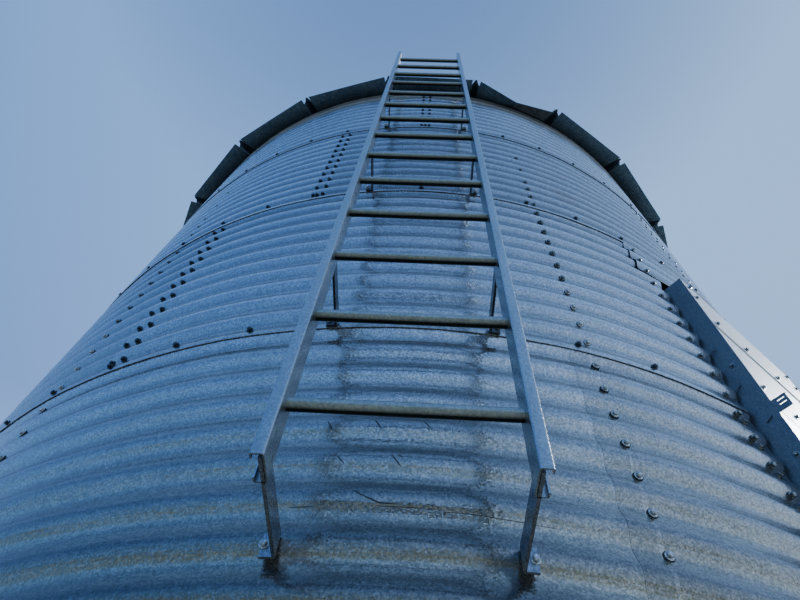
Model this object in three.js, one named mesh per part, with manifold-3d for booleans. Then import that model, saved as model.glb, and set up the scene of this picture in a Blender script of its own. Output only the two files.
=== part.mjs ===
// Farm grain silo, 14 ft across, in millimetres with +Z up.
// Five rings of corrugated galvanised sheet stand on a base angle under a ribbed cone roof,
// with a hinged access door in the front (-Y) and a ladder bolted on to its left.
// The origin is on the silo's axis at floor level.
// Azimuths are in degrees, 0 at the front and growing towards the right of someone who faces it.
import * as THREE from 'three';
import { mergeVertices } from 'three/addons/utils/BufferGeometryUtils.js';
import Module from 'manifold-3d';

const wasm = await Module();
wasm.setup();

// Wall: sheets eight bolt pitches long, each ring's end laps two pitches round from those of the ring below
const WALL_RADIUS = 2133.6;
const WALL_DEPTH = 14;
const RING_HEIGHT = 1117.6;
const RINGS = 5;
const TOP_RING_HEIGHT = 1024;
const BOLT_PITCHES = 56;
const PITCH = 360 / BOLT_PITCHES;
const SHEET_PITCHES = 8;
const LAP_STEP = 2;
const WALL_TOP = (RINGS - 1) * RING_HEIGHT + TOP_RING_HEIGHT;
const GAP = 0.3;

// Base angle inside the foot of the wall
const BASE_LEG = 60;
const BASE_SHELF = 68;
const BASE_THICKNESS = 8;

// Roof: 22 sector panels, each folded once down its middle and ribbed along one edge
const PANELS = 22;
const PANELS_PER_NODE = 2;
const FIRST_JOINT = 3.2;
const ROOF_SLOPE = 30;
const EAVE_RADIUS = 2280;
const EAVE_FOLD_RADIUS = 2257;
const ROOF_SHEET = 8;
const RIB_HALF_WIDTH = 30;
const RIB_HALF_TOP = 17;
const RIB_HEIGHT = 40;
const PEAK_RADIUS = 305;

// One panel's eave is dented: bent inwards and down from a bend line, most at its fold and less at its far end
const DENTED_NODE = 10;
const DENT_BEND_RADIUS = 2152;
const DENT_IN = 48;
const DENT_DOWN = 47;
const DENT_END_SHARE = 0.55;

// Collar and lid over the filling hole
const COLLAR_WALL = 14;
const COLLAR_SEAT = 0.7;
const COLLAR_RISE = 150;
const COLLAR_DROP = 12;
const LID_RADIUS = 345;
const LID_RIM = 26;
const LID_RISE = 95;

// Door frame, in the plane of its outer face at DOOR_PLANE from the axis
const DOOR_CUT = 10.7;
const DOOR_PLANE = 2170;
const FRAME_HALF_WIDTH = 374;
const FRAME_BACK = 2060;
const FRAME_BOTTOM = 560;
const FRAME_TOP = 3018;
const SHEET = 4;
const FLANGE_REACH = 455;
const SILL_TOP = 600;
const LEAF_TOP = 2264;
const TRANSOM_BOTTOM = 2270;
const TRANSOM_TOP = 2740;
const HEADER_BOTTOM = 2700;
const TRANSOM_FACE = 2165.7;
const HEADER_BACK = 2085;

// Padlock tabs stand out of the near jamb
const TAB_REACH = 2214;
const TAB_HEIGHT = 50;
const TAB_BOTTOMS = [640, 2200];
const TAB_SLOT_HEIGHT = 7;
const TAB_SLOT_INNER = 2184;
const TAB_SLOT_OUTER = 2206;
const TAB_SLOT_OFFSETS = [22, 38];

// Door leaf: a folded pan that clears the frame by 6 mm
const CLEARANCE = 6;
const LEAF_FACE = 2165;
const LEAF_DEPTH = 30;
const HANDLE_HEIGHT = 1500;
const HANDLE_LENGTH = 150;
const HANDLE_ROD = 12;
const HANDLE_STAND = 38;
const HANDLE_OFFSET = -250;

// Hinges on the far jamb
const PIN_X = 385;
const PIN_OUT = 2182;
const PIN_RADIUS = 5.5;
const PIN_BORE = 6;
const KNUCKLE_RADIUS = 10;
const KNUCKLE_LENGTH = 30;
const HINGE_HEIGHTS = [860, 2010];
const KNUCKLE_PLAY = 1;
const PIN_SIDES = 16;
const HINGE_PLATE_BACK = DOOR_PLANE - 50;
const HINGE_PLATE_FRONT = DOOR_PLANE - 6;
const HINGE_ARM_BACK = DOOR_PLANE - 20;
const STRAP_LENGTH = 190;
const STRAP_THICKNESS = 6;
const STRAP_OUT = PIN_OUT + 3;
const RISER_INSET = 12;
const RISER_THICKNESS = 8;

// Ladder: two lipped channels, open away from the rungs, on strap brackets to the wall
const LADDER_AZIMUTH = -6 * PITCH;
const LADDER_RADIUS = 2350;
const RAIL_INSIDE = 211;
const RAIL_DEPTH = 65;
const RAIL_FLANGE = 24;
const RAIL_LIP = 12;
const RAIL_SHEET = 4;
const RAIL_BOTTOM = 1482;
const RAIL_TOP = 5800;
const RUNG_RADIUS = 13.5;
const RUNG_SIDES = 10;
const RUNG_STEP = 304.8;
const RUNG_COUNT = 14;
const FIRST_RUNG = 1638;
const BRACKET_HEIGHT = 50;
const BRACKET_BOTTOMS = [1482, 2236, 3354, 4471];
const BRACKET_THICKNESS = 4;
const FOOT_WIDTH = 38;
const STRAP_BACK = 10;

const finish = (color, roughness, metalness) => new THREE.MeshStandardMaterial({ color, roughness, metalness });
const wallMaterial = finish(0x8fa3b4, 0.42, 0.85);
const roofMaterial = finish(0x7f8a90, 0.5, 0.8);
const doorMaterial = finish(0xb9c2c8, 0.4, 0.85);
const ladderMaterial = finish(0x8c9a9c, 0.4, 0.85);
const fittingMaterial = finish(0x9aa2a6, 0.45, 0.8);

const radians = THREE.MathUtils.degToRad;

// A point at a distance out from the axis along an azimuth
function polar(radius, azimuth, z) {
  const angle = radians(azimuth);
  return new THREE.Vector3(radius * Math.sin(angle), -radius * Math.cos(angle), z);
}

function named(name, geometry, material) {
  const mesh = new THREE.Mesh(geometry, material);
  mesh.name = name;
  return mesh;
}

function geometryFrom(points, triangles) {
  const geometry = new THREE.BufferGeometry();
  geometry.setAttribute('position', new THREE.Float32BufferAttribute(points, 3));
  geometry.setIndex(triangles);
  geometry.computeVertexNormals();
  return geometry;
}

// A closed shell between two grids of points: rows[i][j] outside, backs[i][j] inside
function shell(rows, backs) {
  const last = rows.length - 1;
  const width = rows[0].length;
  const points = [];
  for (const grid of [rows, backs]) {
    for (const row of grid) {
      for (const point of row) {
        points.push(point.x, point.y, point.z);
      }
    }
  }
  const front = (i, j) => i * width + j;
  const back = (i, j) => rows.length * width + i * width + j;
  const triangles = [];
  const quad = (a, b, c, d) => triangles.push(a, b, c, a, c, d);
  for (let i = 0; i < last; i += 1) {
    for (let j = 0; j < width - 1; j += 1) {
      quad(front(i, j), front(i + 1, j), front(i + 1, j + 1), front(i, j + 1));
      quad(back(i, j), back(i, j + 1), back(i + 1, j + 1), back(i + 1, j));
    }
    quad(front(i, 0), back(i, 0), back(i + 1, 0), front(i + 1, 0));
    quad(front(i, width - 1), front(i + 1, width - 1), back(i + 1, width - 1), back(i, width - 1));
  }
  for (let j = 0; j < width - 1; j += 1) {
    quad(front(0, j), front(0, j + 1), back(0, j + 1), back(0, j));
    quad(front(last, j), back(last, j), back(last, j + 1), front(last, j + 1));
  }
  return geometryFrom(points, triangles);
}

function shapeOf(points) {
  return new THREE.Shape(points.map(([a, b]) => new THREE.Vector2(a, b)));
}

// A prism over an outline in X and Y, from one height to another
function upright(points, bottom, top) {
  const geometry = new THREE.ExtrudeGeometry(shapeOf(points), { depth: top - bottom, bevelEnabled: false });
  return geometry.translate(0, 0, bottom);
}

// A prism over an outline in Y and Z, from one X to another
function crosswise(points, left, right) {
  const geometry = new THREE.ExtrudeGeometry(shapeOf(points), { depth: right - left, bevelEnabled: false });
  const turn = new THREE.Matrix4().makeBasis(
    new THREE.Vector3(0, 1, 0), new THREE.Vector3(0, 0, 1), new THREE.Vector3(1, 0, 0));
  return geometry.applyMatrix4(turn).translate(left, 0, 0);
}

// A block between two corners
function block([x0, y0, z0], [x1, y1, z1]) {
  const geometry = new THREE.BoxGeometry(x1 - x0, y1 - y0, z1 - z0);
  return geometry.translate((x0 + x1) / 2, (y0 + y1) / 2, (z0 + z1) / 2);
}

// A block placed by its distance out from the axis plane, in front of the silo
function frontBlock(x0, x1, inner, outer, bottom, top) {
  return block([x0, -outer, bottom], [x1, -inner, top]);
}

// A round bar along Z
function post(radius, x, y, bottom, top, sides) {
  const geometry = new THREE.CylinderGeometry(radius, radius, top - bottom, sides);
  return geometry.rotateX(Math.PI / 2).translate(x, y, (bottom + top) / 2);
}

// A ring or a solid of revolution about the silo's axis
function turned(profile, sides, startAzimuth) {
  const geometry = new THREE.LatheGeometry(profile.map(([r, z]) => new THREE.Vector2(r, z)), sides);
  return geometry.rotateX(Math.PI / 2).rotateZ(radians(startAzimuth));
}

function solid(geometry) {
  const bare = geometry.clone();
  bare.deleteAttribute('normal');
  bare.deleteAttribute('uv');
  const merged = mergeVertices(bare, 1e-3);
  return new wasm.Manifold(new wasm.Mesh({
    numProp: 3,
    vertProperties: new Float32Array(merged.attributes.position.array),
    triVerts: new Uint32Array(merged.index.array),
  }));
}

function geometryOf(manifold) {
  const mesh = manifold.getMesh();
  return geometryFrom(Array.from(mesh.vertProperties), Array.from(mesh.triVerts));
}

function joined(parts) {
  return geometryOf(parts.map(solid).reduce((whole, part) => whole.add(part)));
}

function cut(body, tools) {
  return geometryOf(tools.map(solid).reduce((whole, tool) => whole.subtract(tool), solid(body)));
}

// Radius of the flat between two bolt lines at an azimuth, for a polygon with its corners on the bolt lines
function flatRadius(cornerRadius, azimuth) {
  const middle = (Math.floor(azimuth / PITCH) + 0.5) * PITCH;
  return cornerRadius * Math.cos(radians(PITCH / 2)) / Math.cos(radians(azimuth - middle));
}

// Part of a wall ring between two azimuths, with a corner on every bolt line
function wallSegment(start, end, bottom, top) {
  const azimuths = [start];
  for (let k = Math.floor(start / PITCH) + 1; k * PITCH < end - 0.01; k += 1) {
    azimuths.push(k * PITCH);
  }
  azimuths.push(end - THREE.MathUtils.radToDeg(GAP / WALL_RADIUS));
  const column = (corner) => (azimuth) => {
    const radius = flatRadius(corner, azimuth);
    return [polar(radius, azimuth, bottom), polar(radius, azimuth, top)];
  };
  return shell(azimuths.map(column(WALL_RADIUS + WALL_DEPTH / 2)), azimuths.map(column(WALL_RADIUS - WALL_DEPTH / 2)));
}

function addWall(silo) {
  const sides = ['right', 'back', 'left'];
  for (let ring = 0; ring < RINGS; ring += 1) {
    const bottom = ring * RING_HEIGHT;
    const top = ring === RINGS - 1 ? WALL_TOP : bottom + RING_HEIGHT - GAP;
    const firstLap = ((ring + 1) * LAP_STEP) % SHEET_PITCHES;
    const hasDoor = bottom < FRAME_TOP;
    const limits = [
      hasDoor ? DOOR_CUT : firstLap * PITCH,
      (firstLap + 2 * SHEET_PITCHES) * PITCH,
      (firstLap + 4 * SHEET_PITCHES) * PITCH,
      hasDoor ? 360 - DOOR_CUT : (firstLap + BOLT_PITCHES) * PITCH,
    ];
    sides.forEach((side, i) => {
      silo.add(named(`wall_${ring + 1}_${side}`, wallSegment(limits[i], limits[i + 1], bottom, top), wallMaterial));
    });
  }
  silo.add(named('wall_1_under_door', wallSegment(-DOOR_CUT, DOOR_CUT, 0, FRAME_BOTTOM - GAP), wallMaterial));
  silo.add(named('wall_3_over_door', wallSegment(-DOOR_CUT, DOOR_CUT, FRAME_TOP + GAP, 3 * RING_HEIGHT - GAP),
    wallMaterial));
}

function addBase(silo) {
  const outside = WALL_RADIUS - WALL_DEPTH / 2 - GAP;
  const profile = [
    [outside, 0],
    [outside, BASE_LEG],
    [outside - BASE_THICKNESS, BASE_LEG],
    [outside - BASE_THICKNESS, BASE_THICKNESS],
    [outside - BASE_THICKNESS - BASE_SHELF, BASE_THICKNESS],
    [outside - BASE_THICKNESS - BASE_SHELF, 0],
    [outside, 0],
  ];
  silo.add(named('base_angle', turned(profile, BOLT_PITCHES, 0), fittingMaterial));
}

// Height of the roof's underside at a corner radius of its many-sided cone
function undersideHeight(cornerRadius) {
  const apothem = cornerRadius * Math.cos(Math.PI / (2 * PANELS));
  const wallEdge = WALL_RADIUS + WALL_DEPTH / 2;
  return WALL_TOP + GAP + (wallEdge - apothem) * Math.tan(radians(ROOF_SLOPE));
}

// Neighbouring roof panels as one sheet: across each panel a rib, then two flats with a fold between them.
// A dent bends the eave of the first panel.
function roofPanels(firstAzimuth, dented) {
  const half = 180 / PANELS;
  const section = (radius, foldRadius, bend) => {
    const z = undersideHeight(radius);
    const foldHeight = undersideHeight(foldRadius);
    const top = [];
    const bottom = [];
    const station = (from, towards, offset, rise, share = 0) => {
      const along = towards.clone().sub(from).normalize().multiplyScalar(offset);
      const place = from.clone().add(along);
      const reach = Math.hypot(place.x, place.y);
      const shrink = 1 - (share * DENT_IN) / reach;
      place.set(place.x * shrink, place.y * shrink, place.z - share * DENT_DOWN);
      bottom.push(place.clone());
      top.push(place.clone().add(new THREE.Vector3(0, 0, rise)));
    };
    for (let panel = 0; panel < PANELS_PER_NODE; panel += 1) {
      const azimuth = firstAzimuth + panel * 2 * half;
      const joint = polar(radius, azimuth, z);
      const before = polar(foldRadius, azimuth - half, foldHeight);
      const fold = polar(foldRadius, azimuth + half, foldHeight);
      const next = polar(radius, azimuth + 2 * half, z);
      station(joint, before, RIB_HALF_WIDTH, ROOF_SHEET, panel === 1 ? bend * DENT_END_SHARE : 0);
      station(joint, before, RIB_HALF_TOP, RIB_HEIGHT);
      station(joint, before, 0, RIB_HEIGHT);
      station(joint, fold, RIB_HALF_TOP, RIB_HEIGHT);
      station(joint, fold, RIB_HALF_WIDTH, ROOF_SHEET);
      station(fold, next, 0, ROOF_SHEET, panel === 0 ? bend : 0);
      if (panel === PANELS_PER_NODE - 1) {
        station(next, fold, RIB_HALF_WIDTH + GAP, ROOF_SHEET);
      }
    }
    return { top, bottom };
  };
  const sections = [section(EAVE_RADIUS, EAVE_FOLD_RADIUS, dented ? 1 : 0)];
  if (dented) {
    sections.push(section(DENT_BEND_RADIUS, DENT_BEND_RADIUS, 0));
  }
  sections.push(section(PEAK_RADIUS, PEAK_RADIUS, 0));
  const rows = (side) => sections[0][side].map((_, i) => sections.map((each) => each[side][i]));
  return shell(rows('top'), rows('bottom'));
}

function addRoof(silo) {
  const nodes = PANELS / PANELS_PER_NODE;
  for (let i = 0; i < nodes; i += 1) {
    const azimuth = FIRST_JOINT + (i * 360) / nodes;
    const panels = roofPanels(azimuth, i === DENTED_NODE);
    silo.add(named(`roof_panels_${String(i + 1).padStart(2, '0')}`, panels, roofMaterial));
  }
  const roofHeight = undersideHeight(PEAK_RADIUS);
  const outside = PEAK_RADIUS - COLLAR_SEAT;
  const top = roofHeight + COLLAR_RISE;
  const collar = [
    [outside - COLLAR_WALL, roofHeight - COLLAR_DROP],
    [outside, roofHeight - COLLAR_DROP],
    [outside, top],
    [outside - COLLAR_WALL, top],
    [outside - COLLAR_WALL, roofHeight - COLLAR_DROP],
  ];
  silo.add(named('peak_collar', turned(collar, 2 * PANELS, FIRST_JOINT), roofMaterial));
  const lid = [
    [0, top + GAP],
    [LID_RADIUS, top + GAP],
    [LID_RADIUS, top + GAP + LID_RIM],
    [0, top + GAP + LID_RIM + LID_RISE],
  ];
  silo.add(named('fill_lid', turned(lid, 2 * PANELS, FIRST_JOINT), roofMaterial));
}

// Outline of a jamb in X and Y for the side of the frame that side names: -1 near, 1 far
function jambOutline(side) {
  const inner = WALL_RADIUS - WALL_DEPTH / 2 - GAP;
  const cornerAt = (k) => polar(inner, k * PITCH, 0);
  const [first, second] = [cornerAt(1), cornerAt(2)];
  const slope = (second.y - first.y) / (second.x - first.x);
  const faceAt = (x) => first.y + slope * (x - first.x);
  const web = FRAME_HALF_WIDTH;
  const outline = [
    [web - SHEET, -FRAME_BACK],
    [web, -FRAME_BACK],
    [web, faceAt(web) + SHEET],
    [FLANGE_REACH, faceAt(FLANGE_REACH) + SHEET],
    [FLANGE_REACH, faceAt(FLANGE_REACH)],
    [web, faceAt(web)],
    [web, -DOOR_PLANE],
    [web - SHEET, -DOOR_PLANE],
  ];
  return outline.map(([x, y]) => [side * x, y]);
}

function addDoorFrame(silo) {
  const web = FRAME_HALF_WIDTH;
  const nearJamb = upright(jambOutline(-1), FRAME_BOTTOM, FRAME_TOP);
  const tabs = TAB_BOTTOMS.map((z) => frontBlock(-web, SHEET - web, DOOR_PLANE - 1, TAB_REACH, z, z + TAB_HEIGHT));
  const slots = TAB_BOTTOMS.flatMap((z) => TAB_SLOT_OFFSETS.map((rise) => frontBlock(
    -web - 1, SHEET - web + 1, TAB_SLOT_INNER, TAB_SLOT_OUTER, z + rise - TAB_SLOT_HEIGHT / 2,
    z + rise + TAB_SLOT_HEIGHT / 2)));
  silo.add(named('door_jamb_near', cut(joined([nearJamb, ...tabs]), slots), doorMaterial));
  silo.add(named('door_jamb_far', upright(jambOutline(1), FRAME_BOTTOM, FRAME_TOP), doorMaterial));
  const reach = web - SHEET - GAP;
  const header = [
    [-DOOR_PLANE, HEADER_BOTTOM],
    [-DOOR_PLANE, FRAME_TOP],
    [-HEADER_BACK, FRAME_TOP],
    [-HEADER_BACK, FRAME_TOP - SHEET],
    [SHEET - DOOR_PLANE, FRAME_TOP - SHEET],
    [SHEET - DOOR_PLANE, HEADER_BOTTOM],
  ];
  silo.add(named('door_header', crosswise(header, -reach, reach), doorMaterial));
  const transom = frontBlock(-reach, reach, TRANSOM_FACE - SHEET, TRANSOM_FACE, TRANSOM_BOTTOM, TRANSOM_TOP);
  silo.add(named('door_transom', transom, doorMaterial));
  const sill = [
    [-DOOR_PLANE, FRAME_BOTTOM],
    [-DOOR_PLANE, SILL_TOP],
    [-FRAME_BACK, SILL_TOP],
    [-FRAME_BACK, SILL_TOP - SHEET],
    [SHEET - DOOR_PLANE, SILL_TOP - SHEET],
    [SHEET - DOOR_PLANE, FRAME_BOTTOM + SHEET],
    [-HEADER_BACK, FRAME_BOTTOM + SHEET],
    [-HEADER_BACK, FRAME_BOTTOM],
  ];
  silo.add(named('door_sill', crosswise(sill, -reach, reach), doorMaterial));
}

// The leaf with its folded edges, its hinge straps and its pull
function addDoorLeaf(silo) {
  const half = FRAME_HALF_WIDTH - SHEET - CLEARANCE;
  const bottom = SILL_TOP + CLEARANCE;
  const pan = frontBlock(-half, half, LEAF_FACE - LEAF_DEPTH, LEAF_FACE, bottom, LEAF_TOP);
  const hollow = frontBlock(SHEET - half, half - SHEET, LEAF_FACE - LEAF_DEPTH - 1, LEAF_FACE - SHEET,
    bottom + SHEET, LEAF_TOP - SHEET);
  silo.add(named('door_leaf', cut(pan, [hollow]), doorMaterial));
  const rod = HANDLE_ROD / 2;
  const face = LEAF_FACE + GAP;
  const grip = face + HANDLE_STAND;
  const [low, high] = [HANDLE_HEIGHT, HANDLE_HEIGHT + HANDLE_LENGTH];
  const handle = joined([
    frontBlock(HANDLE_OFFSET - rod, HANDLE_OFFSET + rod, face, grip, low, low + HANDLE_ROD),
    frontBlock(HANDLE_OFFSET - rod, HANDLE_OFFSET + rod, face, grip, high - HANDLE_ROD, high),
    frontBlock(HANDLE_OFFSET - rod, HANDLE_OFFSET + rod, grip - HANDLE_ROD, grip, low, high),
  ]);
  silo.add(named('door_handle', handle, fittingMaterial));
}

// One hinge: its bracket and pin on the far jamb, and its strap on the leaf
function addHinge(silo, label, height) {
  const low = height - KNUCKLE_LENGTH * 1.5;
  const high = height + KNUCKLE_LENGTH * 1.5;
  const jambFace = FRAME_HALF_WIDTH + GAP;
  const outer = KNUCKLE_LENGTH - KNUCKLE_PLAY;
  const bracket = [frontBlock(jambFace, jambFace + SHEET, HINGE_PLATE_BACK, HINGE_PLATE_FRONT, low, high)];
  for (const [from, to] of [[low, low + outer], [high - outer, high]]) {
    bracket.push(frontBlock(jambFace, PIN_X, HINGE_ARM_BACK, PIN_OUT, from, to));
    bracket.push(post(KNUCKLE_RADIUS, PIN_X, -PIN_OUT, from, to, PIN_SIDES));
  }
  bracket.push(post(PIN_RADIUS, PIN_X, -PIN_OUT, low, high, PIN_SIDES));
  silo.add(named(`hinge_bracket_${label}`, joined(bracket), fittingMaterial));
  const half = FRAME_HALF_WIDTH - SHEET - CLEARANCE;
  const [from, to] = [low + KNUCKLE_LENGTH, high - KNUCKLE_LENGTH];
  const face = LEAF_FACE + GAP;
  const riser = half - RISER_INSET;
  const strap = joined([
    frontBlock(half - STRAP_LENGTH, half, face, face + STRAP_THICKNESS, from, to),
    frontBlock(riser, riser + RISER_THICKNESS, face, STRAP_OUT, from, to),
    frontBlock(riser, PIN_X, STRAP_OUT - STRAP_THICKNESS, STRAP_OUT, from, to),
    post(KNUCKLE_RADIUS, PIN_X, -PIN_OUT, from, to, PIN_SIDES),
  ]);
  const bore = post(PIN_BORE, PIN_X, -PIN_OUT, from - 1, to + 1, PIN_SIDES);
  silo.add(named(`hinge_strap_${label}`, cut(strap, [bore]), fittingMaterial));
}

// The ladder is built facing the front and turned to its place
function addLadder(silo) {
  const turn = new THREE.Group();
  turn.rotation.z = radians(LADDER_AZIMUTH);
  silo.add(turn);
  const half = RAIL_DEPTH / 2;
  const [inner, outer] = [RAIL_INSIDE, RAIL_INSIDE + RAIL_FLANGE];
  const channel = [
    [inner, -half],
    [outer, -half],
    [outer, RAIL_LIP - half],
    [outer - RAIL_SHEET, RAIL_LIP - half],
    [outer - RAIL_SHEET, RAIL_SHEET - half],
    [inner + RAIL_SHEET, RAIL_SHEET - half],
    [inner + RAIL_SHEET, half - RAIL_SHEET],
    [outer - RAIL_SHEET, half - RAIL_SHEET],
    [outer - RAIL_SHEET, half - RAIL_LIP],
    [outer, half - RAIL_LIP],
    [outer, half],
    [inner, half],
  ];
  const parts = [];
  for (const side of [-1, 1]) {
    const outline = channel.map(([x, y]) => [side * x, y - LADDER_RADIUS]);
    parts.push(upright(outline, RAIL_BOTTOM, RAIL_TOP));
  }
  const span = 2 * RAIL_INSIDE + RAIL_SHEET;
  for (let i = 0; i < RUNG_COUNT; i += 1) {
    const rung = new THREE.CylinderGeometry(RUNG_RADIUS, RUNG_RADIUS, span, RUNG_SIDES);
    parts.push(rung.rotateZ(Math.PI / 2).translate(0, -LADDER_RADIUS, FIRST_RUNG + i * RUNG_STEP));
  }

  // Each bracket is a strap on the back of a rail's web, through a slot in the flange that faces the wall,
  // with its foot bent outwards over a seam bolt
  const strapIn = inner + RAIL_SHEET + GAP;
  const strapOut = strapIn + BRACKET_THICKNESS;
  const footEnd = strapIn + FOOT_WIDTH;
  const strapFront = -LADDER_RADIUS - half + STRAP_BACK;
  const corner = polar(WALL_RADIUS + WALL_DEPTH / 2 + GAP, PITCH, 0);
  const wallFront = (x) => corner.y + (x - corner.x) * Math.tan(radians(PITCH * (x < corner.x ? 0.5 : 1.5)));
  const strap = [
    [strapIn, strapFront],
    [strapOut, strapFront],
    [strapOut, wallFront(strapOut) - BRACKET_THICKNESS],
    [corner.x, corner.y - BRACKET_THICKNESS],
    [footEnd, wallFront(footEnd) - BRACKET_THICKNESS],
    [footEnd, wallFront(footEnd)],
    [corner.x, corner.y],
    [strapIn, wallFront(strapIn)],
  ];
  const slots = [];
  BRACKET_BOTTOMS.forEach((bottom, i) => {
    const top = bottom + BRACKET_HEIGHT;
    for (const [label, side] of [['left', -1], ['right', 1]]) {
      const outline = strap.map(([x, y]) => [side * x, y]);
      turn.add(named(`ladder_bracket_${i + 1}_${label}`, upright(outline, bottom, top), ladderMaterial));
      const edges = [side * (strapIn - GAP), side * (strapOut + GAP)].sort((p, q) => p - q);
      const wallFlange = LADDER_RADIUS - half;
      slots.push(frontBlock(edges[0], edges[1], wallFlange - 1, wallFlange + RAIL_SHEET + GAP,
        bottom - GAP, top + GAP));
    }
  });
  turn.add(named('ladder', cut(joined(parts), slots), ladderMaterial));
}

const silo = new THREE.Group();
addBase(silo);
addWall(silo);
addRoof(silo);
addDoorFrame(silo);
addDoorLeaf(silo);
addHinge(silo, 'lower', HINGE_HEIGHTS[0]);
addHinge(silo, 'upper', HINGE_HEIGHTS[1]);
addLadder(silo);

export default silo;
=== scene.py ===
"""Farm grain silo, 14 ft across: corrugated galvanised wall, ribbed cone roof, hinged access door and ladder.
Metres, +Z up, the door in the front (-Y). Azimuths grow from the front towards the right of someone facing it.
"""

import math

import bpy
import numpy as np
from mathutils import Matrix, Vector


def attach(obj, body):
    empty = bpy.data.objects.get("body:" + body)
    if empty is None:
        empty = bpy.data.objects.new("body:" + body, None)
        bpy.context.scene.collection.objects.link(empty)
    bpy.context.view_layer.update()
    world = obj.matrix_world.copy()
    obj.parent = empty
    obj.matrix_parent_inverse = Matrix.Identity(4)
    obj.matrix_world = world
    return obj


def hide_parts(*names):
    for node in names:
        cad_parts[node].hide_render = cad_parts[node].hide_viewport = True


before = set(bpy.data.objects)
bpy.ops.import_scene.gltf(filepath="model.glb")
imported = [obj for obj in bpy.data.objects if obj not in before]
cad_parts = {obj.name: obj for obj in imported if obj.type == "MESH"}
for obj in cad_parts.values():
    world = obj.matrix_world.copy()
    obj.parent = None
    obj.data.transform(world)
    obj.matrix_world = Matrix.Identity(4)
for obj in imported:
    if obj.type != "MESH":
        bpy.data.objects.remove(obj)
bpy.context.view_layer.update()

# Wall: five rings, each of seven sheets eight bolt pitches long, with a crest of the wave every 101.6 mm
WALL_RADIUS = 2.1336
RING_HEIGHT = 1.1176
RINGS = 5
WALL_TOP = 5.4944
BOLTS_ROUND = 56
BOLT_PITCH = math.tau / BOLTS_ROUND
SHEET_PITCHES = 8
LAP_STEP = 2
CORRUGATION = 0.1016
WAVE = 0.0063
FIRST_CREST = 0.009
GAUGE = 0.0015
END_LAP = 0.016
RING_LAP = 0.075
RING_STEP = 0.0018
SHEET_STEP = 0.00015
ROWS_TO_A_WAVE = 8
COLUMNS_TO_A_PITCH = 3

# Doorway cut out of the wall, and the filler sheet over it in the third ring, which stands proud and lifts off
# towards its lower edge, by so much for each ring height below the start, over a span of ring heights
DOOR_CUT = math.radians(10.5)
DOOR_LOW = 0.5585
FILLER_RING = 2
FILLER_START = -2
FILLER_LOW = 3.094
FILLER_LAP = 0.0025
FILLER_PROUD = 0.0026
FILLER_LIFT = 0.022
LIFT_START, LIFT_SPAN = 1.01, 0.23

# Bolts on the seams: their heights over each ring's end, and the size of the heads higher up
SEAM_BOLT_RISES = np.array([0.03, 0.03, 0.048, 0.048])
SEAM_BOLT_LEAN = math.radians(-6)
SEAM_BOLT_PROUD = 0.0052
LARGE_ABOVE = 3
LARGE_SIZE = 1.25
FILLER_BOLTS_LOW = 3.1

# Bolts in the valleys, off their middle higher up: pairs at the laps, and single columns seven pitches apart, each
# turned off its pitch line, to the left where it stands left of an azimuth and to the right elsewhere
BOLT_PROUD = 0.0024
OFF_VALLEY = 0.01
LAP_BOLT_HALF_GAP = 0.0108
COLUMN_PITCHES = 7
LEFT_OF, TURNED_LEFT, TURNED_RIGHT = -1, -0.003, 0.019
COLUMN_TOP = 3.76
COLUMN_BOLTS_HIGH = [3.922, 4.13]
BRIGHT_BELOW = 2.7

# Bolts along the doorway: their azimuths in degrees, where there is one to a valley and where there are two
EDGE_SINGLE, EDGE_DOUBLE = 11.75, 11.9
EDGE_HALF_GAP = 0.019
EDGE_LIFTED = 0.0045

# Roof: 22 panels on a many-sided cone, which rests on the wall's outer edge. Faces whose normal points further down
# than LOOKS_DOWN have the underside's finish, which is painted shade.
PANELS = 22
FIRST_JOINT = math.radians(3.2)
ROOF_SLOPE = math.radians(30)
ROOF_SEAT_RADIUS = 2.1406
ROOF_GAP = 0.0003
PANEL_GAP = 0.0003
EAVE_RADIUS = 2.28
EAVE_FOLD_RADIUS = 2.257
PEAK_RADIUS = 0.305
PANEL_RISE = 0.003
LOOKS_DOWN = -0.02

# A rib's section across its joint: distances along the panels, rises, and how far its end is notched back
RIB_HALF = 0.03
RIB = [(-RIB_HALF, 0, 0), (-0.0299, 0.0004, 0.045), (-0.016, 0.032, 0.03), (-0.006, 0.04, 0.008),
       (0.006, 0.04, 0.008), (0.016, 0.032, 0.03), (0.0299, 0.0004, 0.045), (RIB_HALF, 0, 0)]

# One panel's eave is dented: bent inwards and down from a bend line, most at its fold and less at its far end
DENTED_PANEL = 20
DENT_BEND_RADIUS = 2.152
DENT_IN = 0.048
DENT_DOWN = 0.047
DENT_END_SHARE = 0.55

# Ladder, with its own directions across and out from the silo's axis
LADDER_AZIMUTH = -6 * BOLT_PITCH
LADDER_RADIUS = 2.35
UP = np.array([0.0, 0.0, 1.0])
LADDER_ACROSS = np.array([math.cos(LADDER_AZIMUTH), math.sin(LADDER_AZIMUTH), 0.0])
LADDER_OUT = np.array([math.sin(LADDER_AZIMUTH), -math.cos(LADDER_AZIMUTH), 0.0])
RAIL_WEB = 0.211
RAIL_FLANGE = 0.024
RAIL_HALF_DEPTH = 0.0325
RAIL_LIP = 0.012
RAIL_LOW = 1.482
RAIL_HIGH = 5.8
RAIL_GAUGE = 0.003
RAIL_BEND = 0.0042
SLITS = [(2.335, 1.512, 1.526), (2.357, 1.548, 1.562)]
SLIT_HALF = 0.0015
RUNG_RADIUS = 0.0135
RUNG_STEP = 0.3048
RUNG_COUNT = 14
FIRST_RUNG = 1.638
SWAGE = 0.0035
SWAGE_LENGTH = 0.0022

# Brackets between the ladder and the wall
BRACKET_LOWS = [1.482, 2.236, 3.354, 4.471]
BRACKET_HEIGHT = 0.05
BRACKET_REACH = 2.3725
BRACKET_BEND = 0.0055
CONTACT = WALL_RADIUS + 0.0088
STRAP = 0.0065
WEB_TO_STRAP = 0.0043
FOOT = 0.03
HEEL = 0.008
FOOT_BOLT_RISE = 0.026

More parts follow.
